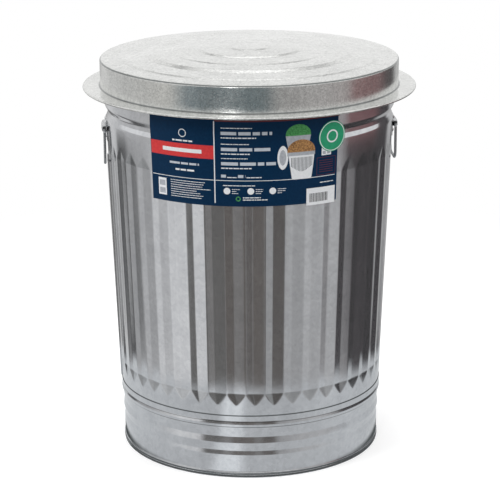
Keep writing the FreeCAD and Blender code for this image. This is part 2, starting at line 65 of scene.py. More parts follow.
# flutes: each has a narrow ridge at both sides, and its valley lies nearer to one of them
FLUTES = 45
FLUTE_LOW = 152.0
FLUTE_HIGH = 531.0
FLUTE_POINT = 21.5
FLUTE_DEPTH = 1.6
PITCH = 360 / FLUTES
RIDGE = 0.2
VALLEY = RIDGE + (PITCH - 2 * RIDGE) * 0.382
FLUTE_MIDDLE = PITCH / 2
VALLEY_BEND = 0.22
RIDGE_BEND = 0.12
UNEVEN_PRESS = 0.05
# rows of points are close together from this far outside a flute's end to this far inside it
END_OUTSIDE = 24.0
END_INSIDE = 3.0
END_ROWS = 1.8
WALL_ROWS = 24.0

# the sheet lies this far inside its plain form, so that its slow waves stay within the CAD's box
WAVE_ROOM = 0.08

SEAM_HALF = 5.0
SEAM_PROUD = 2.4
SEAM_SUNK = 0.35
SEAM_BEND = 1.1

# foot band and lid: places are (radius, height), with the radius of the corner where it is rounded
BAND_SHEET = 0.7
BAND_TOP = (230.236, 113.0)
BEAD_TOP = (229.76, 101.0)
BEAD_FOOT = (229.478, 93.9)
BEAD_RADIUS = 7.3
BAND_STEPS = [(228.54, 91.9, 1.2), (226.3, 74.5, 5), (227.75, 63.4, 3.5), (227.8, 62.0, 0.5),
              (226.5, 56.5, 3), (225.25, 48.8, 4), (226.5, 41.0, 1.5)]
HEM_TOP = (226.0, 10.6)
HEM_OUTSIDE = [(*HEM_TOP, 1.5), (227.0, 9.4, 0.5), (227.2, 8.6, 0.5), (227.2, 5.9, 0.5),
               (226.7, 5.3, 0.3), (227.2, 4.7, 0.5), (227.2, 0.0, 1.2), (222.617, 0.0, 0.9),
               (222.617, 6.0)]
HEM_INSIDE = [(223.317, 6.0), (223.317, 0.75), (225.5, 0.75), (225.5, 8.9), (224.417, 10.6)]
LID_SHEET = 0.7
CROWN_RADIUS = 257.2
CROWN_EDGE = 687.0
CROWN_CORNER = 3.7
CROWN_FALL = 0.077
RAMP_FALL = 0.047
# outer radius, width and rise of each ramp pressed into the lid, from the edge inwards
LID_RAMPS = ((225, 6, 1.4), (181, 13, 3.2), (136, 5, 1.1), (91, 7, 2.1), (42, 6, 1.4))
RAMP_BEND = 11
LID_MIDDLE_RISE = 0.4
BRIM_RADIUS = 285.0
BRIM_TOP = 641.2
BRIM_BEND = 2.2
ROLL_RADIUS = 2.0
ROUND_COLUMNS = 480

# paper: angles in degrees round the can, heights, and lifts off the wall
LABEL_MIDDLE = -96.6
LABEL_ANGLE = 76.6
LABEL_FOOT = 484.0
LABEL_TOP = 636.0
LABEL_BACK = 0.20
LABEL_FACE = 0.40
LABEL_SINK = 0.1
STICKER_BACK = 0.70
STICKER_FACE = 0.90
ROUND_MIDDLE = LABEL_MIDDLE + 35.5
ROUND_HEIGHT = LABEL_TOP - 42.0
ROUND_RADIUS = 26.0
CODE_MIDDLE = LABEL_MIDDLE + 31.1
CODE_ANGLE = 12.5
CODE_FOOT = LABEL_FOOT - 3.5
CODE_TALL = 29.0
# gap before each bar on the white sticker and its width, in degrees
CODE_BARS = ((0, .2), (.15, .1), (.12, .3), (.2, .12), (.1, .1), (.2, .28), (.12, .12), (.2, .2),
             (.1, .1), (.14, .3), (.2, .1), (.1, .2), (.16, .1), (.1, .26), (.2, .1), (.12, .2),
             (.1, .12), (.2, .3), (.1, .1), (.15, .2), (.12, .1), (.2, .2), (.1, .3), (.15, .1),
             (.1, .2))
# print on the label has its angles seen from the camera, + to the right of this one
INK_TURN = -94.0
INK_LIFT = 0.03
INK_SINK = 0.1

ZINC_METALLIC = 0.93
# colour of the painted shade on the flutes' pressed ends
ZINC_END_SHADE = (0.16, 0.18, 0.18)
# colour of the painted shade along crease lines
ZINC_CREASE_SHADE = (0.12, 0.13, 0.13)
ZINC_WAVES = 0.0002

# camera, in metres and degrees, with its roll in radians
CAMERA_AZIMUTH = -4.0
CAMERA_DISTANCE = 3.5253
CAMERA_HEIGHT = 1.3585
CAMERA_DOWN = 16.121
CAMERA_ROLL = -0.00433
CAMERA_SENSOR = 36.0
CAMERA_LENS = 149.527


def wall_at(height):
    return WALL_FOOT_RADIUS + WALL_TAPER * height


def skin_at(height):
    """Radius of the paper's seat: the tapered wall, then straight across the neck to the collar."""
    edge = wall_at(SHOULDER)
    share = np.clip((height - SHOULDER) / (COLLAR_FOOT - SHOULDER), 0, 1)
    return np.where(height < SHOULDER, wall_at(height), edge + share * (COLLAR_RADIUS - edge))


# ---- mesh helpers


def in_scene(name, data):
    """New object with some data, in the scene."""
    made = bpy.data.objects.new(name, data)
    bpy.context.scene.collection.objects.link(made)
    return made


def make_mesh(name, points, faces, material, smooth=True):
    """Object from points in millimetres."""
    mesh = bpy.data.meshes.new(name)
    mesh.from_pydata((np.asarray(points, float) * MM).tolist(), [], faces)
    mesh.update()
    if smooth:
        mesh.shade_smooth()
        mesh.set_sharp_from_angle(angle=SMOOTH_ANGLE)
    mesh.materials.append(material)
    return in_scene(name, mesh)


def filleted(corners, steps=7):
    """Polyline with an arc at each corner (r, z, fillet) that has a fillet."""
    line = []
    for index, corner in enumerate(corners):
        here = np.array(corner[:2], float)
        if len(corner) < 3:
            line.append(here)
            continue
        before = np.array(corners[index - 1][:2], float) - here
        after = np.array(corners[index + 1][:2], float) - here
        before /= np.linalg.norm(before)
        after /= np.linalg.norm(after)
        inside = math.acos(np.clip(before @ after, -1, 1))
        reach = corner[2] / math.tan(inside / 2)
        middle = (before + after) / np.linalg.norm(before + after)
        centre = here + middle * corner[2] / math.sin(inside / 2)
        first, last = here + before * reach - centre, here + after * reach - centre
        start = math.atan2(first[1], first[0])
        sweep = (math.atan2(last[1], last[0]) - start + math.pi) % (2 * math.pi) - math.pi
        for step in range(steps + 1):
            angle = start + sweep * step / steps
            line.append(centre + corner[2] * np.array([math.cos(angle), math.sin(angle)]))
    return np.array(line)


def arc(centre, radius, start, end, steps):
    """Points on a circle from a start to an end angle in degrees."""
    angles = np.radians(np.linspace(start, end, steps + 1))
    return np.stack([centre[0] + radius * np.cos(angles), centre[1] + radius * np.sin(angles)], 1)


def offset(line, distance):
    """The line moved to its left by a distance, mitred at its corners."""
    way = np.diff(line, axis=0)
    way /= np.linalg.norm(way, axis=1)[:, None]
    left = np.stack([-way[:, 1], way[:, 0]], 1)
    before = np.vstack([left[:1], left])
    after = np.vstack([left, left[-1:]])
    mitre = before + after
    mitre /= np.linalg.norm(mitre, axis=1)[:, None]
    return line + mitre * (distance / np.sum(mitre * after, axis=1))[:, None]


def spaced(line, longest):
    """The line with points added, so that no stretch is longer than longest(z at its middle)."""
    parts = []
    for start, end in zip(line[:-1], line[1:]):
        limit = longest((start[1] + end[1]) / 2)
        count = max(1, math.ceil(np.linalg.norm(end - start) / limit))
        parts += [start + (end - start) * step / count for step in range(count)]
    return np.array(parts + [line[-1]])


def even_angles(count):
    return np.linspace(0, 2 * math.pi, count, endpoint=False)


def lathe(name, outline, angles, material, shift):
    """Closed outline of (r, z) turned all the way round. shift(angle, z) moves points outwards."""
    count, rows = len(angles), len(outline)
    radius = np.tile(outline[:, 0], (count, 1))
    height = np.tile(outline[:, 1], (count, 1))
    turn = np.tile(angles[:, None], (1, rows))
    on_axis = outline[:, 0] < 1e-6
    radius = radius + np.where(on_axis, 0, shift(turn, height))
    points = np.stack([radius * np.cos(turn), radius * np.sin(turn), height], 2).reshape(-1, 3)
    faces = []
    for row in range(rows):
        following = (row + 1) % rows
        if on_axis[row] and on_axis[following]:
            continue
        for column in range(count):
            beside = (column + 1) % count
            corners = [(column, row), (beside, row), (beside, following), (column, following)]
            face = []
            for col, r in corners:
                index = (0 if on_axis[r] else col) * rows + r
                if index not in face:
                    face.append(index)
            faces.append(face)
    used = np.zeros(len(points), bool)
    for face in faces:
        used[face] = True
    renumber = np.cumsum(used) - 1
    faces = [[int(renumber[i]) for i in face] for face in faces]
    return make_mesh(name, points[used], faces, material)


def grid_slab(outer, inner):
    """Points and faces of a thin closed sheet between two grids of points of the same size."""
    rows, columns = outer.shape[:2]
    size = rows * columns
    points = np.vstack([outer.reshape(-1, 3), inner.reshape(-1, 3)])
    faces = []
    for i in range(rows - 1):
        for j in range(columns - 1):
            a, b = i * columns + j, i * columns + j + 1
            c, d = b + columns, a + columns
            faces.append([a, b, c, d])
            faces.append([d + size, c + size, b + size, a + size])
    edge = ([j for j in range(columns - 1)]
            + [i * columns + columns - 1 for i in range(rows - 1)]
            + [(rows - 1) * columns + j for j in range(columns - 1, 0, -1)]
            + [i * columns for i in range(rows - 1, 0, -1)])
    for here, there in zip(edge, edge[1:] + edge[:1]):
        faces.append([there, here, here + size, there + size])
    return points, faces


def on_skin(angle, height, lift):
    """Points at angles in degrees and heights, lifted off the paper's seat."""
    radius = skin_at(height) + lift
    turn = np.radians(angle)
    return np.stack([radius * np.cos(turn), radius * np.sin(turn), height + 0 * turn], -1)


def patch(low_angle, high_angle, low, high, inner, outer):
    """Rectangle of paper or ink on the wall."""
    columns = max(2, math.ceil(high_angle - low_angle) + 1)
    rows = max(2, math.ceil((high - low) / 8.0) + 1)
    turn, height = np.meshgrid(np.linspace(low_angle, high_angle, columns),
                               np.linspace(low, high, rows))
    return grid_slab(on_skin(turn, height, outer), on_skin(turn, height, inner))


def disc(middle, height, radius, inner, outer, hole=0.0, segments=64):
    """Round piece of paper or ink on the wall, or a ring where it has a hole."""
    rings = np.linspace(hole, radius, max(2, math.ceil((radius - hole) / 4) + 1))
    round_angles = even_angles(segments)
    loops = []
    for lift, radii in ((outer, rings), (inner, rings[::-1])):
        for ring in radii:
            across, up = ring * np.cos(round_angles), height + ring * np.sin(round_angles)
            seat = skin_at(up)
            loops.append(on_skin(middle + np.degrees(np.arcsin(across / seat)), up, lift))
    points = np.concatenate(loops)
    faces = []
    for loop in range(len(loops) - (0 if hole else 1)):
        following = (loop + 1) % len(loops)
        for k in range(segments):
            n = (k + 1) % segments
            faces.append([loop * segments + k, following * segments + k,
                          following * segments + n, loop * segments + n])
    if hole:
        return points, faces
    # without a hole, the first and the last loop shrink to one point each
    last = len(loops) - 1
    points = np.vstack([points[segments:-segments], points[:1], points[-1:]])
    top, under = len(points) - 2, len(points) - 1
    closed = []
    for face in faces:
        moved = []
        for index in face:
            loop = index // segments
            new = top if loop == 0 else under if loop == last else index - segments
            if new not in moved:
                moved.append(new)
        if len(moved) > 2:
            closed.append(moved)
    return points, closed


def join(parts):
    """Several (points, faces) as one."""
    points, faces, start = [], [], 0
    for part_points, part_faces in parts:
        points.append(part_points)
        faces += [[index + start for index in face] for face in part_faces]
        start += len(part_points)
    return np.vstack(points), faces


def outward(piece):
    """Turns all faces outwards."""
    mesh = bmesh.new()
    mesh.from_mesh(piece.data)
    bmesh.ops.recalc_face_normals(mesh, faces=mesh.faces)
    mesh.to_mesh(piece.data)
    mesh.free()
    return piece


# ---- material helpers


class Shade:
    """Short calls for the nodes of one material."""

    def __init__(self, name):
        self.material = bpy.data.materials.new(name)
        self.material.use_nodes = True
        self.tree = self.material.node_tree
        self.shader = self.tree.nodes["Principled BSDF"]
        self.output = self.tree.nodes["Material Output"]
        self.coordinates = None

    def node(self, kind, **values):
        made = self.tree.nodes.new(kind)
        for key, value in values.items():
            setattr(made, key, value)
        return made

    def link(self, source, target):
        self.tree.links.new(source, target)

    def show(self, surface):
        """Puts another surface in the place of the principled shader."""
        self.tree.nodes.remove(self.shader)
        self.link(surface, self.output.inputs["Surface"])

    def place(self, stretch=None):
        """Place on the object in metres, or that place scaled along the axes."""
        if self.coordinates is None:
            self.coordinates = self.node("ShaderNodeTexCoord").outputs["Object"]
        if stretch is None:
            return self.coordinates
        mapping = self.node("ShaderNodeMapping")
        mapping.inputs["Scale"].default_value = stretch
        self.link(self.coordinates, mapping.inputs["Vector"])
        return mapping.outputs["Vector"]

    def axes(self):
        """X, Y and Z of the place."""
        parts = self.node("ShaderNodeSeparateXYZ")
        self.link(self.place(), parts.inputs[0])
        return parts.outputs

    def distance(self):
        """Distance of the place from the middle of the can's foot, in metres."""
        length = self.node("ShaderNodeVectorMath", operation="LENGTH")
        self.link(self.place(), length.inputs[0])
        return length.outputs["Value"]

    def noise(self, scale, detail=3.0, rough=0.5, stretch=None):
        made = self.node("ShaderNodeTexNoise")
        made.inputs["Scale"].default_value = scale
        made.inputs["Detail"].default_value = detail
        made.inputs["Roughness"].default_value = rough
        self.link(self.place(stretch), made.inputs["Vector"])
        return made.outputs["Fac"]

    def cells(self, scale):
        """Cells with a random colour each."""
        made = self.node("ShaderNodeTexVoronoi")
        made.inputs["Scale"].default_value = scale
        self.link(self.place(), made.inputs["Vector"])
        return made.outputs["Color"]

    def math(self, operation, first, second=0.0):
        made = self.node("ShaderNodeMath", operation=operation)
        for socket, value in zip(made.inputs, (first, second)):
            if isinstance(value, (int, float)):
                socket.default_value = value
            else:
                self.link(value, socket)
        return made.outputs[0]

    def spread(self, value, low, high, start=0.3, end=0.7):
        """Maps a value between start and end to low and high. A noise is mostly 0.3 to 0.7."""
        made = self.node("ShaderNodeMapRange")
        self.link(value, made.inputs["Value"])
        for name, number in (("From Min", start), ("From Max", end), ("To Min", low),
                             ("To Max", high)):
            made.inputs[name].default_value = number
        return made.outputs[0]

    def mix(self, factor, first, second):
        """Colour between two colours or colour outputs."""
        made = self.node("ShaderNodeMix", data_type="RGBA")
        factor_in, first_in, second_in = (made.inputs[i] for i in (0, 6, 7))
        for socket, value in ((factor_in, factor), (first_in, first), (second_in, second)):
            if isinstance(value, (int, float)):
                socket.default_value = value
            elif isinstance(value, tuple):
                socket.default_value = (*value, 1.0)
            else:
                self.link(value, socket)
        return made.outputs[2]

    def ramp(self, value, stops):
        """Colour ramp with stops (position, (r, g, b)) in order."""
        made = self.node("ShaderNodeValToRGB")
        elements = made.color_ramp.elements
        while len(elements) < len(stops):
            elements.new(0.5)
        for element, (position, colour) in zip(elements, stops):
            element.position = position
            element.color = (*colour, 1.0)
        self.link(value, made.inputs[0])
        return made.outputs[0]

    def ring(self, radius, height, wide):
        """0.85 on a level circle round the axis, falling to 0 at a distance from it."""
        x, y, z = self.axes()
        across = self.math("SQRT", self.math("ADD", self.math("POWER", x, 2.0),
                                             self.math("POWER", y, 2.0)))
        aside = self.math("ABSOLUTE", self.math("SUBTRACT", across, radius))
        above = self.math("ABSOLUTE", self.math("SUBTRACT", z, height))
        return self.spread(self.math("MAXIMUM", aside, above), 0.85, 0.0, wide * 0.4, wide)

    def bump(self, height, distance, below=None):
        made = self.node("ShaderNodeBump")
        made.inputs["Strength"].default_value = 1.0
        made.inputs["Distance"].default_value = distance
        self.link(height, made.inputs["Height"])
        if below is not None:
            self.link(below, made.inputs["Normal"])
        return made.outputs[0]


def galvanized(name, dark, light, rough, spangle=170.0, mottle=26.0, speckle=0.35, crease_shade_rings=(),
               shaded_ends=None):
    """Zinc-coated sheet: crystals a few mm wide, cloudy patches and a faint rolled grain.

    Its colour has painted shade: darker rings along crease lines, each given as (radius, height,
    width), and darker flute ends where the mesh's attribute for them is above 0.
    """
    s = Shade(name)
    crystal = s.node("ShaderNodeSeparateColor")
    s.link(s.cells(spangle), crystal.inputs[0])
    cloud = s.noise(mottle, 4.0, 0.6)
    grain = s.noise(60.0, 3.0, 0.6, (1.0, 1.0, 0.08))
    tone = s.math("ADD", s.math("MULTIPLY", crystal.outputs[0], speckle),
                  s.math("MULTIPLY", s.spread(cloud, 0.0, 1.0), 0.8 - speckle))
    tone = s.math("ADD", tone, s.math("MULTIPLY", s.spread(grain, 0.0, 1.0), 0.2))
    colour = s.mix(tone, dark, light)
    if shaded_ends:
        end_shade = s.node("ShaderNodeAttribute", attribute_name=shaded_ends).outputs["Fac"]
        # painted shade: the flutes' pressed ends are darkened in colour
        colour = s.mix(s.math("MULTIPLY", end_shade, 0.3), colour, ZINC_END_SHADE)
    # painted shade: a darker ring of colour along each crease line
    for radius, height, wide in crease_shade_rings:
        colour = s.mix(s.ring(radius * MM, height * MM, wide * MM), colour, ZINC_CREASE_SHADE)
    s.link(colour, s.shader.inputs["Base Color"])
    s.shader.inputs["Metallic"].default_value = ZINC_METALLIC
    patchy = s.math("ADD", s.math("MULTIPLY", crystal.outputs[1], 0.4),
                    s.math("MULTIPLY", s.spread(cloud, 1.0, 0.0), 0.6))
    s.link(s.spread(patchy, rough[0], rough[1], 0.0, 1.0), s.shader.inputs["Roughness"])
    fine = s.bump(s.noise(900.0, 2.0), 0.000012)
    waves = s.bump(s.noise(16.0, 2.0, 0.5, (1.0, 1.0, 0.6)), ZINC_WAVES, fine)
    s.link(waves, s.shader.inputs["Normal"])
    return s.material


def paper(name, dark, light, rough=0.42, gloss=0.5, mottle=260.0):
    """Printed paper with a satin varnish."""
    s = Shade(name)
    s.link(s.mix(s.spread(s.noise(mottle, 4.0), 0.0, 1.0), dark, light),
           s.shader.inputs["Base Color"])
    s.shader.inputs["Specular IOR Level"].default_value = gloss
    s.link(s.spread(s.noise(45.0), rough - 0.05, rough + 0.07), s.shader.inputs["Roughness"])
    s.link(s.bump(s.noise(1400.0, 2.0), 0.00001), s.shader.inputs["Normal"])
    return s.material


# ---- wall with its flutes


def chord_depth(turn, start, end):
    """Depth under the unit circle of the straight line between two (degrees, depth) points."""
    first, last = (np.array([math.cos(math.radians(a)), math.sin(math.radians(a))]) * (1 - d)
                   for a, d in (start, end))
    way = last - first
    cross = first[0] * way[1] - first[1] * way[0]
    turn = np.radians(turn)
    return 1 - cross / (np.cos(turn) * way[1] - np.sin(turn) * way[0])


def soft_min(first, second, width):
    """The smaller of two values, rounded off where they are nearly the same."""
    share = np.clip(1 - np.abs(first - second) / width, 0, None)
    return np.minimum(first, second) - share * share * width / 4


def flute_depth(turn, height):
    """Depth of the pressed flutes, each of two flat faces that meet in a line and end in a point.

    The wall stays plain under the side seam.
    """
    degrees = np.degrees(turn) % 360
    number = np.floor(degrees / PITCH)
    local = degrees - number * PITCH
    scale = wall_at(FLUTE_LOW)
    valley = (VALLEY, FLUTE_DEPTH / scale)
    steep = chord_depth(local, (RIDGE, 0), valley) * scale
    wide = chord_depth(local, valley, (PITCH - RIDGE, 0)) * scale
    past = np.maximum(0, np.maximum(FLUTE_LOW - height, height - FLUTE_HIGH)) / FLUTE_POINT
    steep = steep - past * chord_depth(FLUTE_MIDDLE, (RIDGE, 0), valley) * scale
    wide = wide - past * chord_depth(FLUTE_MIDDLE, valley, (PITCH - RIDGE, 0)) * scale
    press = 1 + UNEVEN_PRESS * np.sin(number * 2.4 + 0.7)
    depth = soft_min(steep, wide, VALLEY_BEND) * press
    depth = -soft_min(-depth, 0 * depth, RIDGE_BEND)
    pressed = np.abs(degrees - 180) > PITCH / 2
    return np.where(pressed, np.maximum(depth, 0), 0)


def unevenness(turn, height):
    """Slow waves of real sheet, a few hundredths of a millimetre high."""
    total = 0
    for waves, length, phase, size in ((5, 310, 0.4, 0.05), (9, 190, 2.1, 0.035),
                                       (14, 120, 4.0, 0.02), (23, 90, 1.1, 0.012)):
        total = total + size * np.sin(waves * turn + phase) * np.sin(
            2 * math.pi * height / length + phase * 1.7)
    return total


def wavy_between(low, high, turn, height, strength=1.0, squeeze=1.0):
    """The sheet's slow waves between two heights, as a shift outwards."""
    waves = unevenness(turn, height * squeeze) * strength - WAVE_ROOM
    return np.where((height > low) & (height < high), waves, 0)


def wall_shift(turn, height):
    return -flute_depth(turn, height) + wavy_between(WALL_FOOT + 2, SHOULDER - 8, turn, height)


def wall_angles():
    """Columns, closer together along the flutes' edges."""
    edges = [0.0, RIDGE, 0.45, 0.8, 1.3, 1.9, 2.4, 2.75, VALLEY - 0.12, VALLEY, VALLEY + 0.14,
             3.5, 4.0, 4.8, 5.6, 6.4, 7.0, 7.4, PITCH - RIDGE]
    return np.radians([flute * PITCH + edge for flute in range(FLUTES) for edge in edges])


def wall_outline():
    """Outside of the wall from its foot to the end of the curl, then the inside back down."""
    low_end = (FLUTE_LOW - END_OUTSIDE, FLUTE_LOW + END_INSIDE)
    high_end = (FLUTE_HIGH - END_INSIDE, FLUTE_HIGH + END_OUTSIDE)
    face = filleted([(wall_at(level), level) for level in (WALL_FOOT, *low_end, *high_end)]
                    + [(wall_at(SHOULDER), SHOULDER, 7), (NECK_RADIUS, NECK_LOW, 4),
                       (NECK_RADIUS, NECK_HIGH, 4), (COLLAR_RADIUS, COLLAR_FOOT, 7),
                       (COLLAR_RADIUS, RIM_CENTRE[1])], 5)
    face = np.vstack([face[:-1], arc(RIM_CENTRE, CURL_RADIUS, 180, -140, 18)])

    def step(height):
        near_end = any(low < height < high for low, high in (low_end, high_end))
        return END_ROWS if near_end else WALL_ROWS

    face = spaced(face, step)
    return np.vstack([face, offset(face, WALL_SHEET)[::-1]])


def mark_shaded_ends(wall):
    """Marks the flutes' pressed ends, from 0 to 1, in the attribute that the sheet's material
    darkens as painted shade.
    """
    place = np.empty(len(wall.data.vertices) * 3)
    wall.data.vertices.foreach_get("co", place)
    x, y, z = place.reshape(-1, 3).T / MM
    at_end = (z < FLUTE_LOW + 0.5) | (z > FLUTE_HIGH - 0.5)
    share = np.where(at_end, np.clip(flute_depth(np.arctan2(y, x), z) / 0.3, 0, 1), 0)
    wall.data.attributes.new("shaded_ends", "FLOAT", "POINT").data.foreach_set("value", share)


def build_wall(material):
    """Tapered, fluted wall with its neck, collar and curled rim."""
    wall = lathe("wall", wall_outline(), wall_angles(), material, wall_shift)
    # marks the flute ends that get painted shade
    mark_shaded_ends(wall)
    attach(wall, "can")
    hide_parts("body_wall")


def build_seam(material):
    """Folded side seam, proud of the wall at -X, with rounded edges and ends."""
    section = filleted([(-SEAM_HALF, -SEAM_SUNK), (-SEAM_HALF, SEAM_PROUD, SEAM_BEND),
                        (SEAM_HALF, SEAM_PROUD, SEAM_BEND), (SEAM_HALF, -SEAM_SUNK)], 6)
    # height, and the share of its full thickness that the seam has there
    levels = [(114.5, 0.55), (115.3, 0.85), (116.6, 1.0), (250, 1.0), (380, 1.0), (517.9, 1.0),
              (519.2, 0.85), (520.0, 0.55)]
    points = []
    for height, share in levels:
        for across, up in section:
            radius = wall_at(height) + (up if up < 0 else up * share)
            points.append([-radius, across, height])
    size = len(section)
    faces = [[i * size + j, i * size + (j + 1) % size, (i + 1) * size + (j + 1) % size,
              (i + 1) * size + j] for i in range(len(levels) - 1) for j in range(size)]
    faces += [list(range(size)), [(len(levels) - 1) * size + j for j in range(size)][::-1]]
    seam = outward(make_mesh("side_seam", points, faces, material))
    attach(seam, "can")


# ---- base band and lid


def band_outline():
    """Bead, steps and hem on the outside from the top down, then the inside back up."""
    chord = np.array([BEAD_TOP, BEAD_FOOT])
    half = (BEAD_TOP[1] - BEAD_FOOT[1]) / 2
    reach = math.sqrt(BEAD_RADIUS ** 2 - (np.linalg.norm(chord[0] - chord[1]) / 2) ** 2)
    centre = chord.mean(0) - np.array([reach, 0])
    swell = math.degrees(math.asin(half / BEAD_RADIUS))
    outside = np.vstack([[BAND_TOP], arc(centre, BEAD_RADIUS, swell, -swell, 10),
                         filleted([BEAD_FOOT] + BAND_STEPS + HEM_OUTSIDE)[1:]])
    straight = offset(filleted([HEM_TOP] + BAND_STEPS[::-1] + [BEAD_FOOT, BEAD_TOP, BAND_TOP]),
                      BAND_SHEET)[1:]
    return spaced(np.vstack([outside, HEM_INSIDE, straight]), lambda z: 6.0)


def build_band(material):
    """Separate foot ring with its bead, two pressed steps and a rolled double hem."""

    def shift(turn, height):
        return wavy_between(14, 90, turn, height, 0.7, 1.3)

    band = lathe("foot_band", band_outline(), even_angles(ROUND_COLUMNS), material, shift)
    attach(band, "can")
    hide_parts("base_band")


def lid_outline():
    """Top of the lid from the middle outwards, the rolled edge, then the underside."""
    face = [(CROWN_RADIUS - CROWN_CORNER, CROWN_EDGE)]
    fall = CROWN_FALL
    for radius, width, rise in LID_RAMPS:
        foot = face[-1][1] + fall * (face[-1][0] - radius)
        face += [(radius, foot, RAMP_BEND), (radius - width, foot + rise, RAMP_BEND)]
        fall = RAMP_FALL
    face.append((0, face[-1][1] + LID_MIDDLE_RISE))
    crown = [(CROWN_RADIUS, CROWN_EDGE + CROWN_FALL * CROWN_CORNER, CROWN_CORNER),
             (CROWN_RADIUS, BRIM_TOP, BRIM_BEND), (BRIM_RADIUS, BRIM_TOP)]
    top = spaced(filleted(face[:0:-1] + crown, 6), lambda z: 7.0)
    roll = arc((BRIM_RADIUS, BRIM_TOP - ROLL_RADIUS), ROLL_RADIUS, 90, -180, 14)[1:]
    meets_roll = (BRIM_RADIUS - ROLL_RADIUS, BRIM_TOP - LID_SHEET)
    under = offset(top, -LID_SHEET)[:-1][::-1]
    under = under[under[:, 0] < meets_roll[0] - 0.1]
    under[-1, 0] = 0.0
    return np.vstack([top, roll, [meets_roll], under])


def build_lid(material):
    """Stepped lid: five pressed ramps, a deep crown, a flat brim and its rolled edge."""

    def shift(turn, height):
        return wavy_between(646, 684, turn, height)

    lid = lathe("lid", lid_outline(), even_angles(ROUND_COLUMNS), material, shift)
    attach(lid, "lid")
    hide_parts("lid_shell")


# ---- printing


def printed(name, parts, material):
    """One piece of all the parts that are printed in one ink."""
    piece = outward(make_mesh(name, *join(parts), material))
    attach(piece, "can")


def over_flutes(turn, height):
    """The paper sinks a little where it bridges a flute."""
    sink = 0.5 - 0.5 * np.cos(np.radians((turn % PITCH) / PITCH * 360))
    return -LABEL_SINK * sink * np.clip((545 - height) / 20, 0, 1)


def ink(rows, columns=None):
    """Printed shape given by rows of (height, left angle, right angle), from its foot up."""
    rows = np.array(rows, float)
    count = max(len(rows), math.ceil((rows[-1, 0] - rows[0, 0]) / 2.5) + 1)
    levels = np.union1d(rows[:, 0], np.linspace(rows[0, 0], rows[-1, 0], count))
    rows = np.stack([np.interp(levels, rows[:, 0], rows[:, i]) for i in range(3)], 1)
    widest = np.max(rows[:, 2] - rows[:, 1])
    columns = columns or max(2, math.ceil(widest / 0.6) + 1)
    share = np.linspace(0, 1, columns)
    turn = rows[:, 1:2] + (rows[:, 2:3] - rows[:, 1:2]) * share + INK_TURN
    height = np.tile(rows[:, :1], (1, columns))
    seat = LABEL_FACE + over_flutes(turn, height)
    return grid_slab(on_skin(turn, height, seat + INK_LIFT), on_skin(turn, height, seat - INK_SINK))


def raised(parts, lift=0.02):
    """The same ink a little further out, to lie on other ink."""
    moved = []
    for points, faces in parts:
        points = points.copy()
        length = np.hypot(points[:, 0], points[:, 1])
        points[:, :2] *= ((length + lift) / length)[:, None]
        moved.append((points, faces))
    return moved


def bar(left, right, foot, top):
    """Block of ink."""
    rows = max(2, math.ceil((top - foot) / 4.0) + 1)
    return ink([(height, left, right) for height in np.linspace(foot, top, rows)])


def oval(middle, height, half_angle, half_height, foot=-1.0):
    """Ellipse, or its upper part from a share of its half height."""
    rows = []
    for share in np.sin(np.linspace(math.asin(foot), math.pi / 2, 13)):
        half = half_angle * max(math.sqrt(max(1 - share * share, 0)), 0.04)
        rows.append((height + half_height * share, middle - half, middle + half))
    return ink(rows, 9)


def dot(turn, height, radius, hole=0.0, segments=64):
    """Disc or ring of ink."""
    return disc(turn + INK_TURN, height, radius, LABEL_FACE - INK_SINK, LABEL_FACE + INK_LIFT,
                hole, segments)


def outlined(left, right, foot, top, wide_angle=0.16, wide=0.7):
    """Frame of four thin bars."""
    return [bar(left, right, foot, foot + wide), bar(left, right, top - wide, top),
            bar(left, left + wide_angle, foot + wide, top - wide),
            bar(right - wide_angle, right, foot + wide, top - wide)]


def words(dice, left, right, height, tall):
    """Plain blocks in the rhythm of a line of print."""
    blocks = []
    while left < right:
        reach = left + tall * 0.23 * dice.uniform(1.5, 5.5)
        blocks.append(bar(left, min(reach, right), height - tall / 2, height + tall / 2))
        left = reach + tall * 0.14
    return blocks


# ---- label and stickers


def build_label_sheet(material):
    """Paper label, close to the wall's flutes."""
    low, high = LABEL_MIDDLE - LABEL_ANGLE / 2, LABEL_MIDDLE + LABEL_ANGLE / 2
    columns = np.arange(low, high + 0.01, 0.5)
    heights = np.append(np.arange(LABEL_FOOT, LABEL_TOP, 4.0), LABEL_TOP)
    turn, height = np.meshgrid(columns, heights)
    wave = over_flutes(turn, height)
    sheet = grid_slab(on_skin(turn, height, LABEL_FACE + wave),
                      on_skin(turn, height, LABEL_BACK + wave))
    label = outward(make_mesh("label", *sheet, material))
    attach(label, "can")
    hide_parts("label_sheet")


def left_panel(dice):
    """White and pale print left of the upright line."""
    white = [bar(-37.7, -33.9, 494, 523), bar(-35.0, -18.4, 571.0, 577.5),
             dot(-26.1, 603.5, 7.0, 5.6)]
    white += words(dice, -30.5, -22.0, 590.5, 2.6)
    pale = words(dice, -32.0, -19.5, 552, 3.6)
    white += words(dice, -29.5, -21.5, 541, 3.0)
    for line in range(8):
        right = -15.2 if line == 3 else dice.uniform(-23, -16)
        white += words(dice, -31.9, right, 522.0 - 3.9 * line, 1.1)
    return white, pale


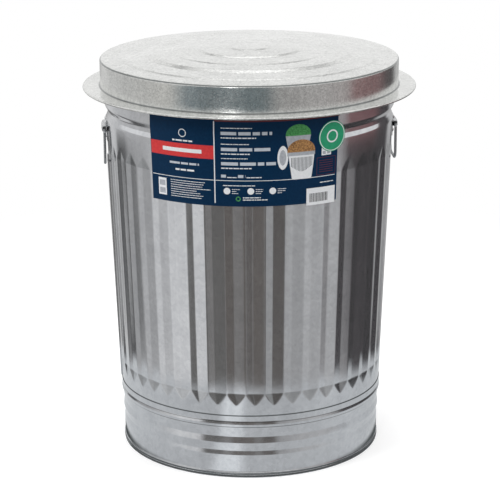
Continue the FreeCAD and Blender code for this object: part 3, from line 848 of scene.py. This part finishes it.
def middle_panel(dice):
    """White and pale print: three headings, a line of large and small, three notes with a dot."""
    white, pale = [], []
    for heading, right in ((607.3, 8.4), (580.3, 7.8), (556.2, 10.0)):
        white += words(dice, -10.8, dice.uniform(-2, 1), heading + 8.8, 1.3)
        pale += words(dice, -10.8, right, heading, 5.4)
        white += words(dice, -10.8, dice.uniform(0, 3), heading - 7.6, 1.8)
    pale += words(dice, -10.9, -9.0, 535.2, 5.0) + words(dice, -4.4, -1.6, 535.2, 5.0)
    white += words(dice, -8.6, -4.8, 533.2, 1.5) + words(dice, -1.2, 4.6, 533.2, 1.5)
    white += words(dice, -10.2, 2.2, 519.3, 1.4)
    for spot in (-8.7, 0.4, 8.8):
        white.append(dot(spot, 510, 5.6))
        for line in range(3):
            white += words(dice, spot + 1.9, spot + dice.uniform(3.4, 5.4), 513.0 - 3.4 * line, 1.0)
    white += words(dice, -2.6, 4.2, 499.0, 1.6) + words(dice, -2.6, 6.8, 495.2, 1.6)
    return white, pale


def build_print(white, pale, red, maroon):
    """Lines, bands, a box and blank bars, which stand for the label's print."""
    dice = np.random.RandomState(7)
    lines = [bar(-13.6, -13.2, 489, 627), bar(-40.4, 34.6, 527.2, 528.2)]
    left_white, left_pale = left_panel(dice)
    middle_white, middle_pale = middle_panel(dice)
    right_white = [bar(28.4, 32.6, 563, 580)] + words(dice, 28.0, 34.0, 517.5, 1.4)
    printed("label_print", lines + left_white + middle_white + right_white, white)
    printed("label_headings", left_pale + middle_pale, pale)
    printed("label_band", [bar(-40.7, -13.6, 563, 570.99), bar(-40.7, -35.01, 571, 577.49),
                           bar(-18.39, -13.6, 571, 577.49), bar(-40.7, -13.6, 577.5, 586)],
            red)
    box = outlined(26.4, 34.8, 530, 560)
    for line in range(6):
        box += words(dice, 27.5, 33.6, 554.5 - 3.8 * line, 1.1)
    printed("label_box", box + [bar(-13.19, 36.4, 626.5, 635.6)], maroon)


def build_bins(white, grey, dark, green, brown):
    """Two plain bins with a heap in each, and a lid beside the one in front."""
    printed("bin_green", [oval(18.6, 603.0, 5.0, 17.0, -0.35)], green)
    behind = ink([(575.0, 14.9, 22.7), (588.0, 14.2, 23.1), (601.0, 13.6, 23.6)])
    printed("bin_behind", raised([behind]), grey)
    printed("bin_brown", raised([oval(19.9, 575.0, 5.6, 19.0, -0.35)], 0.05), brown)
    body = ink([(527.0, 17.0, 23.6), (529.0, 16.2, 24.2), (548.0, 15.5, 24.8), (567, 14.8, 25.2)])
    printed("bin_body", [body, oval(12.6, 565.0, 2.1, 20.0)], white)
    printed("bin_rim", raised([bar(14.3, 25.5, 567.01, 573.0)], 0.08), grey)
    fluting = [bar(left, left + 0.25, 546 - 6 * math.cos((left - 20) * 0.5), 564)
               for left in np.arange(15.9, 24.6, 0.55)]
    printed("bin_flutes", raised(fluting), dark)
    printed("bin_lid_ring", raised([oval(12.6, 565.0, 1.3, 13.0)]), grey)


def build_marks(grey, green):
    """Small blocks on the two white fields, and a ring at the label's foot."""
    marks = [bar(-37.2, -34.4, foot, foot + 9) for foot in (497, 510)]
    marks += [bar(left, left + 1.4, foot, foot + 5) for foot in (565, 573) for left in (28.8, 30.8)]
    printed("label_marks", raised(marks), grey)
    printed("label_leaf", [dot(-4.4, 497, 4.2, 2.4, 32)], green)


def build_label():
    navy = paper("label_navy", (0.001, 0.021, 0.060), (0.002, 0.027, 0.074), 0.38, 0.12)
    white = paper("print_white", (0.80, 0.82, 0.84), (0.88, 0.89, 0.91))
    pale = paper("print_pale", (0.5, 0.54, 0.6), (0.58, 0.62, 0.68))
    red = paper("print_red", (0.60, 0.03, 0.035), (0.72, 0.045, 0.045))
    maroon = paper("print_maroon", (0.09, 0.005, 0.010), (0.13, 0.008, 0.014))
    green = paper("print_green", (0.01, 0.13, 0.03), (0.10, 0.42, 0.12), mottle=520.0)
    brown = paper("print_brown", (0.10, 0.035, 0.01), (0.62, 0.33, 0.12), mottle=480.0)
    grey = paper("print_grey", (0.36, 0.38, 0.42), (0.5, 0.52, 0.56))
    dark = paper("print_dark", (0.08, 0.09, 0.11), (0.12, 0.13, 0.15))
    build_label_sheet(navy)
    build_print(white, pale, red, maroon)
    build_bins(white, grey, dark, green, brown)
    build_marks(grey, green)


def build_round_sticker(green, white):
    """Green sticker over the label's right edge, with two thin rings printed on it."""
    sticker = outward(make_mesh("green_sticker", *disc(ROUND_MIDDLE, ROUND_HEIGHT, ROUND_RADIUS,
                                                       STICKER_BACK, STICKER_FACE, segments=96),
                                green))
    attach(sticker, "can")
    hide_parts("round_sticker")
    near, far = STICKER_FACE - INK_SINK, STICKER_FACE + INK_LIFT
    printed("green_sticker_ring", [disc(ROUND_MIDDLE, ROUND_HEIGHT, 24.8, near, far, 23.5, 96),
                                   disc(ROUND_MIDDLE, ROUND_HEIGHT, 11.0, near, far, 8.4, 64)],
            white)


def build_code_sticker(white, black):
    """White sticker at the label's lower right corner, with bars that encode nothing."""
    low, high = CODE_MIDDLE - CODE_ANGLE / 2, CODE_MIDDLE + CODE_ANGLE / 2
    code = outward(make_mesh("code_sticker", *patch(low, high, CODE_FOOT, CODE_FOOT + CODE_TALL,
                                                    STICKER_BACK, STICKER_FACE), white))
    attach(code, "can")
    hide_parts("barcode_sticker")
    bars = []
    left = low + 1.3
    for gap, width in CODE_BARS:
        left += gap
        bars.append(patch(left, left + width, CODE_FOOT + 5, CODE_FOOT + 20,
                          STICKER_FACE - INK_SINK, STICKER_FACE + INK_LIFT))
        left += width
    printed("code_bars", bars, black)


def build_stickers():
    green = paper("sticker_green", (0.012, 0.29, 0.14), (0.02, 0.35, 0.17))
    white = paper("sticker_white", (0.80, 0.82, 0.84), (0.88, 0.89, 0.91))
    black = paper("print_black", (0.02, 0.02, 0.022), (0.03, 0.03, 0.032))
    build_round_sticker(green, white)
    build_code_sticker(white, black)


# ---- studio


def build_camera():
    """Camera at the photograph's viewing angle."""
    data = bpy.data.cameras.new("camera")
    data.sensor_width = CAMERA_SENSOR
    data.lens = CAMERA_LENS
    camera = in_scene("camera", data)
    azimuth = math.radians(CAMERA_AZIMUTH)
    camera.location = (CAMERA_DISTANCE * math.sin(azimuth), -CAMERA_DISTANCE * math.cos(azimuth),
                       CAMERA_HEIGHT)
    aim = Euler((math.radians(90 - CAMERA_DOWN), 0, azimuth)).to_quaternion()
    camera.rotation_mode = "QUATERNION"
    camera.rotation_quaternion = aim @ Quaternion(Vector((0, 0, 1)), CAMERA_ROLL)
    bpy.context.scene.camera = camera


def lamp(name, place, size, power, target=(0.0, 0.0, 0.35)):
    """Rectangular lamp at a place in metres, turned to its target."""
    data = bpy.data.lights.new(name, "AREA")
    data.shape = "RECTANGLE"
    data.size, data.size_y = size
    data.energy = power
    light = in_scene(name, data)
    light.location = place
    way = np.array(target) - np.array(place)
    light.rotation_mode = "QUATERNION"
    light.rotation_quaternion = Vector(way).to_track_quat("-Z", "Y")
    return light


def build_lamps():
    """Three soft lamps that the steel doesn't mirror, and two that it does."""
    lamp("key", (-1.9, -1.2, 2.0), (1.0, 1.0), 24).visible_glossy = False
    lamp("fill", (2.0, -1.0, 1.8), (0.9, 0.9), 16).visible_glossy = False
    lamp("top", (0.0, 0.3, 2.6), (2.0, 2.0), 36).visible_glossy = False
    lamp("front", (-0.75, -2.4, 0.95), (0.3, 0.9), 5)
    lamp("back", (0.1, 2.0, 2.35), (1.6, 0.8), 2.5, (0.0, 0.0, 0.7))


def shown_rays(tree):
    """1 for the rays that show the background: camera, glossy and transmission rays."""
    path = tree.nodes.new("ShaderNodeLightPath")
    total = path.outputs["Is Camera Ray"]
    for name in ("Is Glossy Ray", "Is Transmission Ray"):
        highest = tree.nodes.new("ShaderNodeMath")
        highest.operation = "MAXIMUM"
        tree.links.new(total, highest.inputs[0])
        tree.links.new(path.outputs[name], highest.inputs[1])
        total = highest.outputs[0]
    return total


def build_world():
    """White where it is seen, and a softer level for the light that it gives."""
    world = bpy.data.worlds.new("studio")
    bpy.context.scene.world = world
    world.use_nodes = True
    world.cycles.sampling_method = "NONE"
    tree = world.node_tree
    background = tree.nodes["Background"]
    level = tree.nodes.new("ShaderNodeMapRange")
    level.inputs["To Min"].default_value = 0.55
    level.inputs["To Max"].default_value = 1.0
    tree.links.new(shown_rays(tree), level.inputs["Value"])
    tree.links.new(level.outputs[0], background.inputs["Strength"])
    background.inputs["Color"].default_value = (1, 1, 1, 1)


def build_floor():
    """Pale floor that keeps the can's shadow and turns plain white further away."""
    s = Shade("floor_pale")
    shown = shown_rays(s.tree)
    diffuse = s.node("ShaderNodeBsdfDiffuse")
    diffuse.inputs["Color"].default_value = (0.8, 0.8, 0.8, 1)
    glow = s.node("ShaderNodeEmission")
    s.link(s.math("MULTIPLY", shown, 0.35), glow.inputs["Strength"])
    total = s.node("ShaderNodeAddShader")
    s.link(diffuse.outputs[0], total.inputs[0])
    s.link(glow.outputs[0], total.inputs[1])
    white = s.node("ShaderNodeEmission")
    s.link(shown, white.inputs["Strength"])
    far = s.node("ShaderNodeMixShader")
    s.link(s.spread(s.distance(), 0.0, 1.0, 0.7, 1.6), far.inputs[0])
    s.link(total.outputs[0], far.inputs[1])
    s.link(white.outputs[0], far.inputs[2])
    s.show(far.outputs[0])
    size = 30000
    floor = make_mesh("floor", [(-size, -size, 0), (size, -size, 0), (size, size, 0),
                                (-size, size, 0)], [[0, 1, 2, 3]], s.material, False)


NO_TINT = (1.0, 1.0, 1.0)
# Studio cards, as (azimuth, level, tint). The azimuth is that of the part of the wall which mirrors
# them, from the camera's side, + to the right.
CARDS = (
    (-176, 0.16, NO_TINT),
    (-156, 0.20, NO_TINT),
    (-151, 0.70, NO_TINT),
    (-139, 0.70, NO_TINT),
    (-135, 0.10, NO_TINT),
    (-122, 0.12, NO_TINT),
    (-117, 0.40, NO_TINT),
    (-97, 0.50, NO_TINT),
    (-65, 0.90, NO_TINT),
    (-46, 0.80, NO_TINT),
    (-40, 0.14, (1.0, 0.96, 0.91)),
    (-26, 0.14, (1.0, 0.95, 0.90)),
    (-24, 0.24, (1.0, 0.96, 0.93)),
    (-17, 0.24, (1.0, 0.96, 0.93)),
    (-15, 0.14, (1.0, 0.88, 0.80)),
    (2, 0.14, (1.0, 0.88, 0.80)),
    (4, 0.22, (1.0, 0.96, 0.93)),
    (9, 0.22, (1.0, 0.96, 0.93)),
    (11, 0.12, (1.0, 0.89, 0.83)),
    (20, 0.12, (1.0, 0.89, 0.83)),
    (25, 0.40, NO_TINT),
    (63, 0.60, NO_TINT),
    (79, 0.42, (1.0, 0.98, 0.98)),
    (88, 0.07, (1.0, 0.88, 0.94)),
    (111, 0.03, (1.0, 0.88, 0.94)),
    (143, 0.06, (1.0, 0.90, 0.96)),
    (150, 0.45, NO_TINT),
    (178, 0.38, NO_TINT),
)
# the cards' upper part, which the lid's crown and the collar mirror
HIGH_CARDS = (
    (-178, 0.30, NO_TINT),
    (-150, 0.80, NO_TINT),
    (-110, 0.62, NO_TINT),
    (-62, 0.62, (1.0, 0.99, 0.96)),
    (-50, 0.26, (0.80, 1.0, 1.10)),
    (-30, 0.12, (0.68, 1.0, 1.15)),
    (12, 0.16, (0.74, 1.0, 1.10)),
    (22, 0.36, (1.0, 0.98, 0.97)),
    (60, 0.46, (1.0, 0.96, 0.96)),
    (80, 0.42, (1.0, 0.92, 0.92)),
    (88, 0.22, (1.2, 0.66, 0.68)),
    (118, 0.18, (1.2, 0.64, 0.67)),
    (130, 0.08, (1.0, 0.86, 0.90)),
    (145, 0.06, (1.0, 0.93, 0.97)),
    (152, 0.60, NO_TINT),
    (178, 0.50, NO_TINT),
)
# the cards on the floor close to the can, as (azimuth of the place itself, level)
NEAR_CARDS = ((-180, 0.70), (-90, 0.74), (-60, 0.68), (-22, 0.60), (-16, 1.0), (-8, 1.0),
              (-2, 0.64), (25, 0.60), (60, 0.72), (120, 0.64), (180, 0.70))
NEAR_TINT = (0.97, 1.0, 1.02)
# painted shadow: the cards are nearly black close round the foot, where the can shades the floor
PAINTED_FOOT_SHADOW = (0.07, 0.08, 0.08)
# about the can's radius as a share of the cards' distance from its axis
CARD_SHARE = 0.36
# where one part of the cards turns into the next: distances and a height, in metres
FOOT_TO_NEAR = (0.240, 0.252)
NEAR_TO_FAR = (0.55, 0.605)
LOW_TO_HIGH = (0.38, 0.45)
CARD_PROFILE = [(228, 0.6), (700, 3, 120), (760, 200, 200), (770, 660)]
CARD_COLUMNS = 180
FLAG_RADIUS = 2200
FLAG_LEVELS = (1950, 2380)
FLAG_HALF_ANGLE = 55
FLAG_GLOW = 0.12


def card_stops(cards):
    """Stops of a ramp round the can, each where the ray that the wall mirrors meets the cards."""
    stops = []
    for azimuth, level, tint in cards:
        aside = math.degrees(math.asin(CARD_SHARE * math.sin(math.radians(azimuth / 2))))
        stops.append(((azimuth - aside + 180) / 360, [level * channel for channel in tint]))
    return stops


def only_mirrored(piece, shade, glow):
    """Lets a glowing piece of the studio show in reflections alone, and light nothing else."""
    shade.show(glow.outputs[0])
    shade.material.cycles.emission_sampling = "NONE"
    piece.visible_camera = False
    piece.visible_diffuse = False
    piece.visible_shadow = False


def build_cards():
    """Light and dark studio cards that lie and stand round the can, for the steel to reflect."""
    s = Shade("studio_cards")
    x, y, up = s.axes()
    angle = s.math("ARCTAN2", x, s.math("MULTIPLY", y, -1.0))
    turned = s.math("ADD", angle, math.radians(180 - CAMERA_AZIMUTH))
    share = s.math("FRACT", s.math("DIVIDE", turned, 2 * math.pi))
    far = s.mix(s.spread(up, 0.0, 1.0, *LOW_TO_HIGH), s.ramp(share, card_stops(CARDS)),
                s.ramp(share, card_stops(HIGH_CARDS)))
    near = s.ramp(share, [((azimuth + 180) / 360, [level * channel for channel in NEAR_TINT])
                          for azimuth, level in NEAR_CARDS])
    distance = s.distance()
    # painted shadow close round the foot, turning into the near cards further out
    close = s.mix(s.spread(distance, 0.0, 1.0, *FOOT_TO_NEAR), PAINTED_FOOT_SHADOW, near)
    glow = s.node("ShaderNodeEmission")
    s.link(s.mix(s.spread(distance, 0.0, 1.0, *NEAR_TO_FAR), close, far), glow.inputs["Color"])
    profile = filleted(CARD_PROFILE, 10)
    count, rows = CARD_COLUMNS, len(profile)
    points = [(r * math.cos(a), r * math.sin(a), z) for a in even_angles(count) for r, z in profile]
    faces = [[c * rows + r, (c + 1) % count * rows + r, (c + 1) % count * rows + r + 1,
              c * rows + r + 1] for c in range(count) for r in range(rows - 1)]
    cards = make_mesh("studio_cards", points, faces, s.material)
    only_mirrored(cards, s, glow)


def build_flag():
    """Dark strip behind and above the can, which draws dark lines along the lid's ramps."""
    s = Shade("studio_flag")
    glow = s.node("ShaderNodeEmission")
    glow.inputs["Strength"].default_value = FLAG_GLOW
    angles = np.radians(np.linspace(90 - FLAG_HALF_ANGLE, 90 + FLAG_HALF_ANGLE, 40)
                        + CAMERA_AZIMUTH)
    points = [(FLAG_RADIUS * math.cos(a), FLAG_RADIUS * math.sin(a), z) for a in angles
              for z in FLAG_LEVELS]
    faces = [[2 * i, 2 * i + 2, 2 * i + 3, 2 * i + 1] for i in range(len(angles) - 1)]
    flag = make_mesh("studio_flag", points, faces, s.material)
    only_mirrored(flag, s, glow)


def dress_cad_nodes(sheet, fitting, wire, rivet):
    """Gives the carried-over CAD nodes their materials."""
    for node, material in (("bottom_pan", sheet), ("rim_wire", wire), ("bail_left", wire),
                           ("bail_right", wire), ("ear_left", fitting), ("ear_right", fitting),
                           ("ear_rivets_left", rivet), ("ear_rivets_right", rivet)):
        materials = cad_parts[node].data.materials
        materials.clear()
        materials.append(material)


# ---- the scene

build_camera()
build_world()
build_floor()
build_cards()
build_lamps()
build_flag()

# painted shade on the wall and band: dark rings at the band's lap and along the bead's edges, and
# darkened flute ends
sheet_steel = galvanized("galvanized_sheet", (0.52, 0.53, 0.55), (0.66, 0.67, 0.69), (0.06, 0.15),
                         crease_shade_rings=((230.0, 113.6, 1.4), (230.2, 102.0, 0.9), (229.2, 92.6, 0.9)),
                         shaded_ends="shaded_ends")
# painted shade on the lid: dark rings at the crown's top corner and where the crown meets the brim
lid_steel = galvanized("galvanized_lid", (0.50, 0.505, 0.495), (0.80, 0.805, 0.785), (0.14, 0.28),
                       spangle=420.0, mottle=14.0, speckle=0.65,
                       crease_shade_rings=((256.4, 686.0, 1.6), (258.2, 641.8, 1.7)))
fitting_steel = galvanized("galvanized_fitting", (0.52, 0.53, 0.54), (0.64, 0.65, 0.66),
                           (0.22, 0.38), spangle=260.0)
wire_steel = galvanized("steel_wire", (0.24, 0.25, 0.26), (0.42, 0.43, 0.44), (0.2, 0.34),
                        spangle=320.0)
rivet_steel = galvanized("rivet_steel", (0.6, 0.61, 0.62), (0.7, 0.71, 0.72), (0.2, 0.32),
                         spangle=400.0)

build_wall(sheet_steel)
build_seam(sheet_steel)
build_band(sheet_steel)
build_lid(lid_steel)
build_label()
build_stickers()
dress_cad_nodes(sheet_steel, fitting_steel, wire_steel, rivet_steel)

view = bpy.context.scene.view_settings
view.view_transform = "Standard"
